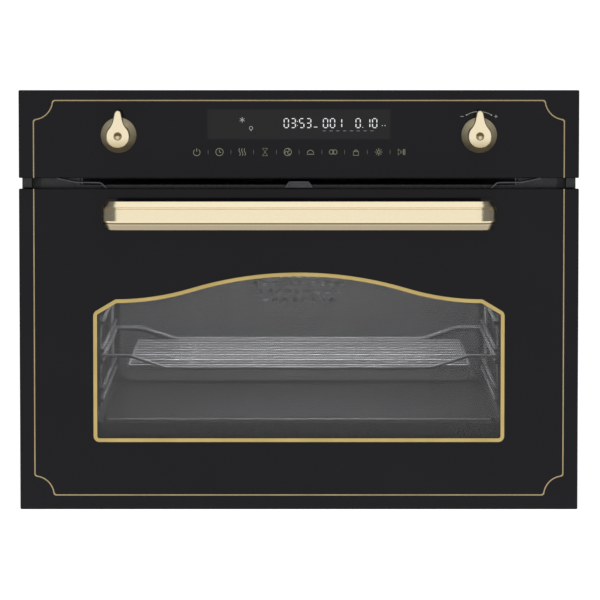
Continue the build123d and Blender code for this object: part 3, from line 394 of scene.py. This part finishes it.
# A finish for each material slot of the carried parts; the brass depends on its part and comes after
finishes = {
    "black_glass": blackGlass("blackGlass"),
    "window_glass": windowGlass("windowGlass", 0.22, (0.062, 0.062, 0.063)),
    "lamp_glass": windowGlass("lampGlass", 0.75, (0.55, 0.55, 0.5)),
    "ceramic": ceramicPlate("ceramic"),
    "gold_trim": satinGold("goldTrim", (0.64, 0.485, 0.185), (0.54, 0.405, 0.145), 0.42, 0.85),
    "gold_line": satinGold("goldLine", (0.50, 0.395, 0.215), (0.41, 0.32, 0.17), 0.40, 0.7),
    "galvanised": galvanised("galvanised"),
    "black_enamel": enamel("blackEnamel", (0.010, 0.010, 0.011), (0.016, 0.016, 0.017), 0.28, 0.05),
    "black_metal": enamel("blackMetal", (0.012, 0.012, 0.013), (0.02, 0.02, 0.021), 0.45, 0.0),
    "grey_enamel": enamel("greyEnamel", (0.125, 0.127, 0.13), (0.165, 0.167, 0.171), 0.3, 0.25),
    "grey_plastic": plastic("greyPlastic", (0.16, 0.165, 0.17), (0.21, 0.215, 0.22), 0.45),
    "black_plastic": plastic("blackPlastic", (0.011, 0.011, 0.012), (0.02, 0.02, 0.021), 0.42),
    "element_steel": steel("elementSteel", (0.30, 0.27, 0.24), (0.16, 0.14, 0.13), 0.42, (900,) * 3, 0.8),
    "wire_chrome": steel("wireChrome", (0.66, 0.67, 0.69), (0.54, 0.55, 0.57), 0.30, (300,) * 3, 0.3),
    "screen_metal": screenMetal("screenMetal"),
    "aluminium": steel("aluminium", (0.80, 0.81, 0.82), (0.66, 0.67, 0.68), 0.34, (120, 1500, 1500)),
    "motor_steel": steel("motorSteel", (0.58, 0.58, 0.57), (0.42, 0.42, 0.42), 0.32, (1200, 1200, 200)),
    "fastener_steel": steel("fastenerSteel", (0.66, 0.66, 0.64), (0.46, 0.46, 0.45), 0.3, (1500, 300, 1500)),
    "board": circuitBoard("board"),
    "seal_rubber": plastic("sealRubber", (0.018, 0.018, 0.019), (0.032, 0.032, 0.033), 0.6, 900.0),
}

# The tinted display window in the panel's glass: its half width, and its edges' heights above the base
displayArea = {"half": 97.4 * mm, "low": 398.9 * mm, "high": 430.6 * mm, "soft": 1.2 * mm,
               "shade": (0.019, 0.019, 0.019)}


def dress(name, material):
    nodes[name].material_slots[0].material = material


def finishParts():
    for part in nodes.values():
        for place in part.material_slots:
            if place.material and place.material.name in finishes:
                place.material = finishes[place.material.name]
    dress("control_panel", blackGlass("panelGlass", displayArea))
    for side in ("left", "right"):
        low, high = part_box("spindle_" + side)
        dress("knob_" + side, turnedBrass("turnedBrass_" + side, (low.x + high.x) / 2, (low.z + high.z) / 2))
    low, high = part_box("door_handle")
    dress("door_handle", barBrass("barBrass", (low.z + high.z) / 2))


finishParts()
print("finishes on", len(nodes), "carried parts")


def keepMesh(name, bm, material):
    # a finished piece, with its place in its mesh and its object at the origin
    mesh = bpy.data.meshes.new(name)
    bm.to_mesh(mesh)
    bm.free()
    mesh.materials.append(material)
    return linked(name, mesh)


# Prints and lit signs on the control panel, drawn as thin strokes that lie on the glass; the prints glow as
# well, and their glow is painted light
inkSizes = {"wide": 0.62 * mm, "fine": 0.5 * mm, "thin": 0.12, "lift": 0.04 * mm, "weld": 1e-7}
inkShades = {"keyInkGlow": (0.255, 0.245, 0.165), "barInkGlow": (0.09, 0.09, 0.08), "dialInkGlow": (0.42, 0.40, 0.32),
             "displayLight": (0.93, 0.95, 0.97), "dimLight": (0.28, 0.29, 0.3), "signLight": (0.5, 0.51, 0.5)}


# the key signs, the bars between them and the knob's arc and signs are prints, so their glow is painted
# light; the display's figures, dashes and signs are lit
def litInk(name, glow=1.0):
    look = {"grain": 700.0, "dimmer": 0.88, "off": (0.02, 0.02, 0.02), "rough": 0.5}
    p = Paint(name)
    shade = inkShades[name]
    even = p.blend(p.noise(look["grain"], 2.0), lighter(shade, look["dimmer"]), shade)
    return p.finish(baseColor=look["off"], roughness=look["rough"], emissionColor=even, emissionStrength=glow)


def strokeMesh(strokes, wide):
    # strokes are lists of pixel places; a stroke that ends where it starts is closed
    data = bpy.data.curves.new("strokes", "CURVE")
    data.dimensions, data.use_fill_caps = "3D", True
    data.bevel_depth, data.bevel_resolution = wide / 2, 1
    for stroke in strokes:
        closed = stroke[0] == stroke[-1] and len(stroke) > 2
        places = stroke[:-1] if closed else stroke
        line = data.splines.new("POLY")
        line.points.add(len(places) - 1)
        for point, spot in zip(line.points, places):
            place = atPixel(*spot)
            point.co = (place.x, 0, place.z, 1)
        line.use_cyclic_u = closed
    drawn = bpy.data.objects.new("strokes", data)
    mesh = bpy.data.meshes.new_from_object(drawn)
    bpy.data.objects.remove(drawn)
    bpy.data.curves.remove(data)
    return mesh


def inked(name, strokes, wide, material):
    bm = bmesh.new()
    drawn = strokeMesh(strokes, wide)
    bm.from_mesh(drawn)
    bpy.data.meshes.remove(drawn)
    bmesh.ops.remove_doubles(bm, verts=bm.verts, dist=inkSizes["weld"])
    bmesh.ops.scale(bm, vec=(1, inkSizes["thin"], 1), verts=bm.verts)
    bmesh.ops.translate(bm, vec=(0, frontY - inkSizes["lift"], 0), verts=bm.verts)
    bmesh.ops.recalc_face_normals(bm, faces=bm.faces)
    piece = keepMesh(name, bm, material)
    for face in piece.data.polygons:
        face.use_smooth = True
    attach(piece, "housing")


def arc(x, y, radius, start=0, sweep=360, steps=18):
    # degrees clockwise from the top, in a sign's own units
    turns = [math.radians(start + sweep * i / steps) for i in range(steps + 1)]
    points = [(x + radius * math.sin(t), y + radius * math.cos(t)) for t in turns]
    return points[:-1] + points[:1] if sweep == 360 else points


def wave(x, steps=10, swing=0.18):
    return [(x + swing * math.sin(2 * math.pi * i / steps), -1 + 2 * i / steps) for i in range(steps + 1)]


def rays(inner, outer, count):
    turns = [2 * math.pi * i / count for i in range(count)]
    return [[(r * math.sin(t), r * math.cos(t)) for r in (inner, outer)] for t in turns]


def blades(out, radius):
    thirds = (0, 2.094, 4.189)  # of a turn, in radians
    return [arc(out * math.sin(t), out * math.cos(t), radius, math.degrees(t), 180, 8) for t in thirds]


def placed(strokes, x, y, size):
    return [[(x + size * a, y - size * b) for a, b in stroke] for stroke in strokes]


# Generic signs of the touch keys, in order from the left, each about two units across
signs = {
    "power": [arc(0, -0.1, 0.9, 35, 290), [(0, 0.1), (0, 1)]],
    "clock": [arc(0, 0, 1), [(0, 0.6), (0, 0), (0.45, -0.2)]],
    "heat": [wave(-0.7), wave(0), wave(0.7)],
    "hourglass": [[(-0.7, 1), (0.7, 1), (-0.7, -1), (0.7, -1), (-0.7, 1)]],
    "fan": [arc(0, 0, 1)] + blades(0.42, 0.4),
    "dish": [arc(0, -0.35, 0.85, -90, 180), [(-1, -0.6), (1, -0.6)]],
    "rings": [arc(-0.45, 0, 0.6), arc(0.45, 0, 0.6)],
    "lock": [[(-0.7, -0.9), (0.7, -0.9), (0.7, 0.1), (-0.7, 0.1), (-0.7, -0.9)],
             arc(0, 0.1, 0.45, -90, 180, 10)],
    "lamp": [arc(0, 0, 0.4)] + rays(0.65, 1.0, 8),
    "start": [[(-0.9, -0.8), (-0.9, 0.8), (0.1, 0), (-0.9, -0.8)],
              [(0.5, -0.8), (0.5, 0.8)], [(0.9, -0.8), (0.9, 0.8)]],
}
keyRow = {"first": 197.0, "pitch": 22.69, "row": 151.9, "half": 3.7, "bar": 2.2}  # in pixels


def makeKeySigns():
    k = keyRow
    ink = litInk("keyInkGlow")
    for i, (name, strokes) in enumerate(signs.items()):
        x = k["first"] + i * k["pitch"]
        inked("key_" + name, placed(strokes, x, k["row"], k["half"]), inkSizes["wide"], ink)
    gaps = [k["first"] + (i + 0.5) * k["pitch"] for i in range(len(signs) - 1)]
    bars = [[(x, k["row"] - k["bar"]), (x, k["row"] + k["bar"])] for x in gaps]
    inked("key_separators", bars, inkSizes["fine"], litInk("barInkGlow"))


# Seven-segment figures of the display: a group is its text, its left end and its pitch, in pixels
segmentLines = {
    "a": ((0, 2), (1, 2)), "b": ((1, 2), (1, 1)), "c": ((1, 1), (1, 0)), "d": ((0, 0), (1, 0)),
    "e": ((0, 1), (0, 0)), "f": ((0, 2), (0, 1)), "g": ((0, 1), (1, 1))}
figureParts = {"0": "abcdef", "1": "bc", "3": "abcdg", "5": "acdfg"}
readout = {"top": 118.6, "tall": 9.0, "wide": 4.3, "trim": 0.16, "line": 1.0 * mm, "glow": 0.95,
           "groups": (("03", 284.2, 6.9), ("53", 299.6, 6.9), ("001", 323.3, 7.0), ("0", 355.8, 7.0),
                      ("10", 365.3, 7.0)),
           "dots": ((297.3, 121.4), (297.3, 125.4), (362.6, 127.4), (382.1, 125.5), (384.7, 125.5)),
           "dotHalf": 0.35, "dotLine": 0.8 * mm, "bar": [(313.8, 127.0), (317.4, 127.0)],
           "dashes": {"first": 322.6, "last": 373.5, "count": 8, "y": 130.8, "long": 3.2},
           "flake": (242.4, 119.8, 2.8), "bulb": (251.2, 128.5, 2.4)}


def figure(sign, left):
    r = readout
    strokes = []
    for part in figureParts[sign]:
        (x0, y0), (x1, y1) = segmentLines[part]
        ends = []
        for x, y, farX, farY in ((x0, y0, x1, y1), (x1, y1, x0, y0)):
            a, b = x + (farX - x) * r["trim"], y + (farY - y) * r["trim"]
            ends.append((left + a * r["wide"], r["top"] + (2 - b) * r["tall"] / 2))
        strokes.append(ends)
    return strokes


def makeDisplay():
    r = readout
    lit = litInk("displayLight", r["glow"])
    strokes = []
    for text, left, pitch in r["groups"]:
        for i, sign in enumerate(text):
            strokes += figure(sign, left + i * pitch)
    inked("display_figures", strokes, r["line"], lit)
    dots = [[(x - r["dotHalf"], y), (x + r["dotHalf"], y)] for x, y in r["dots"]]
    inked("display_dots", dots + [r["bar"]], r["dotLine"], lit)
    d = r["dashes"]
    step = (d["last"] - d["first"]) / (d["count"] - 0.5)
    starts = [d["first"] + i * step for i in range(d["count"])]
    dashes = [[(x, d["y"]), (x + d["long"], d["y"])] for x in starts]
    inked("display_dashes", dashes, inkSizes["fine"], litInk("dimLight"))
    flake = placed(rays(0.0, 1.0, 6), *r["flake"])
    bulb = placed([arc(0, 0.2, 0.7), [(-0.3, -0.8), (0.3, -0.8)]], *r["bulb"])
    inked("display_signs", flake + bulb, inkSizes["fine"], litInk("signLight"))


# The right knob's arc with a minus and a plus: places in pixels, half its sweep in degrees
adjustMarks = {"x": 478.4, "y": 135.0, "radius": 23.5, "half": 32, "steps": 24, "dot": 0.5,
               "sign": 1.7, "signY": 116.4, "minus": 461.5, "plus": 495.3, "signLine": 0.45 * mm}


def makeAdjustMarks():
    a = adjustMarks
    ink = litInk("dialInkGlow")
    ring = placed([arc(0, 0, 1, -a["half"], 2 * a["half"], a["steps"])], a["x"], a["y"], a["radius"])
    dots = [placed([arc(0, 0, 1, 0, 360, 10)], x, y, a["dot"])[0] for x, y in (ring[0][0], ring[0][-1])]
    level = [[(x - a["sign"], a["signY"]), (x + a["sign"], a["signY"])] for x in (a["minus"], a["plus"])]
    upright = [[(a["plus"], a["signY"] - a["sign"]), (a["plus"], a["signY"] + a["sign"])]]
    inked("adjust_arc", ring, inkSizes["fine"], ink)
    inked("adjust_signs", dots + level + upright, a["signLine"], ink)


makeKeySigns()
makeDisplay()
makeAdjustMarks()
print("panel prints made")


# The bench and the floor below it, so that the open door has room
stageSizes = {"benchFront": -0.256, "wide": 3.2, "deep": 2.4, "floor": -0.1, "floorThick": 0.02,
              "floorFront": -1.15, "edge": 0.002}


def stageWhite(name):
    look = {"dark": (0.52, 0.52, 0.525), "pale": (0.56, 0.56, 0.56), "cloud": 2.0, "rough": 0.9, "glow": 0.82}
    p = Paint(name)
    base = p.blend(p.noise(look["cloud"], 2.0), look["dark"], look["pale"])
    return p.finish(baseColor=base, roughness=look["rough"], emissionColor=(1.0, 1.0, 1.0),
                    emissionStrength=look["glow"])


def makeSlab(name, low, high, front, back):
    s = stageSizes
    bm = bmesh.new()
    bmesh.ops.create_cube(bm, size=1.0)
    bmesh.ops.scale(bm, vec=(s["wide"], back - front, high - low), verts=bm.verts)
    bmesh.ops.translate(bm, vec=(0, (front + back) / 2, (low + high) / 2), verts=bm.verts)
    bmesh.ops.bevel(bm, geom=bm.edges[:], affect="EDGES", offset=s["edge"], segments=2, profile=0.5,
                    material=-1)
    keepMesh(name, bm, stageWhite(name + "White"))


def makeStage():
    s = stageSizes
    makeSlab("bench", s["floor"], 0.0, s["benchFront"], s["deep"])
    makeSlab("floor", s["floor"] - s["floorThick"], s["floor"], s["floorFront"], s["deep"])


# Softboxes: place, aim, width and height in metres, and power
lights = {
    "front": ((0, -3.2, 0.75), (0, -0.3, 0.25), (3.6, 3.2), 31.5),
    "overhead": ((0, -1.3, 2.2), (0, -0.3, 0.3), (2.6, 1.2), 9.5),
    "rearKey": ((-1.2, 2.8, 1.7), (0, 0.2, 0.2), (2.4, 1.6), 16.0),
    "rearFill": ((2.4, 1.4, 1.1), (0, 0.1, 0.2), (1.4, 1.4), 8.0),
    "above": ((0, 0.6, 2.7), (0, 0.1, 0.4), (2.4, 1.8), 9.0),
    "cavity": ((0, -0.24, 0.30), (0, 0.05, 0.16), (0.36, 0.03), 2.3),
}


def makeLight(name, place, aim, size, power):
    lamp = bpy.data.lights.new(name, "AREA")
    lamp.shape = "RECTANGLE"
    lamp.size, lamp.size_y = size
    lamp.energy = power
    piece = linked(name, lamp)
    piece.location = place
    piece.rotation_euler = (Vector(aim) - Vector(place)).to_track_quat("-Z", "Y").to_euler()


# A white backdrop to the eye, and a dim pale room to the surfaces
room = {"seen": ((1, 1, 1), 1.05), "lit": ((0.96, 0.98, 1.0), 0.16)}


def makeWorld():
    world = bpy.data.worlds.new("studio")
    bpy.context.scene.world = world
    p = Paint("studio", world)
    glows = {}
    for part, (shade, strength) in room.items():
        glows[part] = p.add("ShaderNodeBackground", {}, {"Color": colour(shade), "Strength": strength})
    toEye = p.add("ShaderNodeLightPath", out="Is Camera Ray")
    mixed = p.add("ShaderNodeMixShader", {}, {0: toEye, 1: glows["lit"], 2: glows["seen"]})
    p.add("ShaderNodeOutputWorld", {}, {"Surface": mixed})


bpy.context.scene.view_settings.view_transform = "Standard"
makeStage()
makeWorld()
for name, settings in lights.items():
    makeLight(name, *settings)
print("stage and lights ready")
